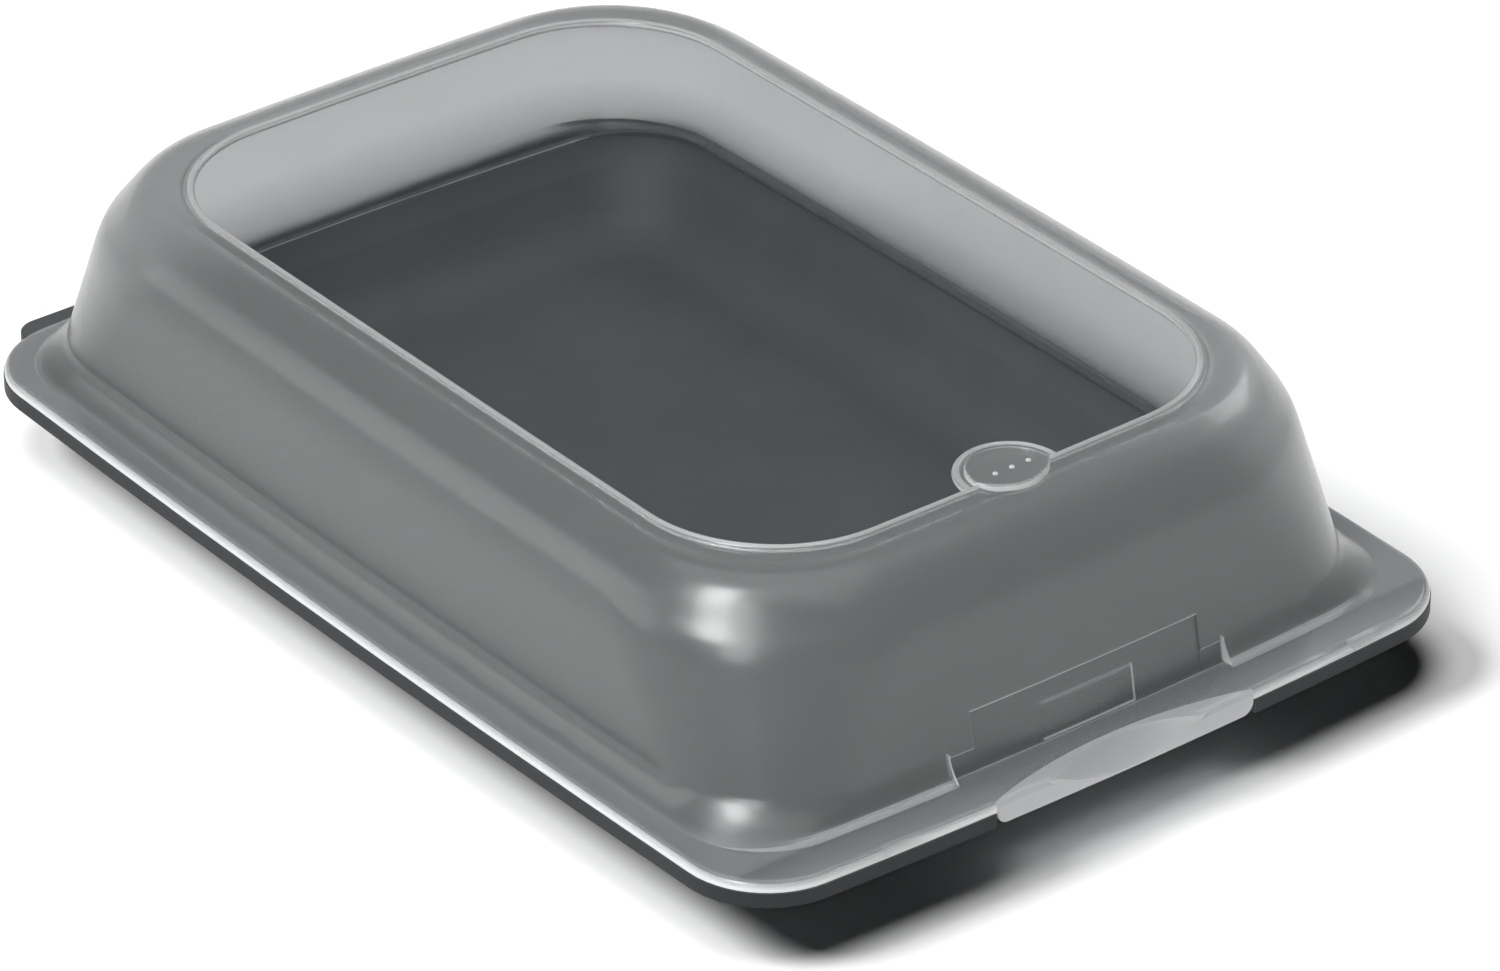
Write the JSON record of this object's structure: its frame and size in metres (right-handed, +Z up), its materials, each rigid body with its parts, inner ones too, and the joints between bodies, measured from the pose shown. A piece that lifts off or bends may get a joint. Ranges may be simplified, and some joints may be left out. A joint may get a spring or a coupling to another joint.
{
  "type": "cat litter box",
  "caption": "Open-topped cat litter box: shallow rectangular tray with a clip-on frosted rim hood that leans in to a beaded top opening.",
  "frame": {"origin": "centre of the tray's flat underside, on the surface that it stands on", "axes": "+Y runs along the length from the latch end to the rear lip, +X across the width, +Z up out of the opening"},
  "size_m": [0.4006, 0.5772, 0.1434],
  "materials": {
    "tray_plastic": "satin anthracite polypropylene",
    "hood_plastic": "frosted translucent grey polypropylene"
  },
  "bodies": {
    "tray": {"tray": "tray_plastic"},
    "hood": {"hood": "hood_plastic"},
    "front_latch": {"front_latch": "hood_plastic"}
  },
  "joints": [
    {"name": "hood_lift", "type": "slide", "parent": "tray", "child": "hood", "axis": [0, 0, 1], "range_m": [0, 0.2]},
    {"name": "front_latch_flex", "type": "hinge", "parent": "hood", "child": "front_latch", "pos_m": [0, -0.2728, 0.045], "axis": [-1, 0, 0], "range_deg": [0, 25], "stiffness_Nm_per_rad": 0.3}
  ]
}
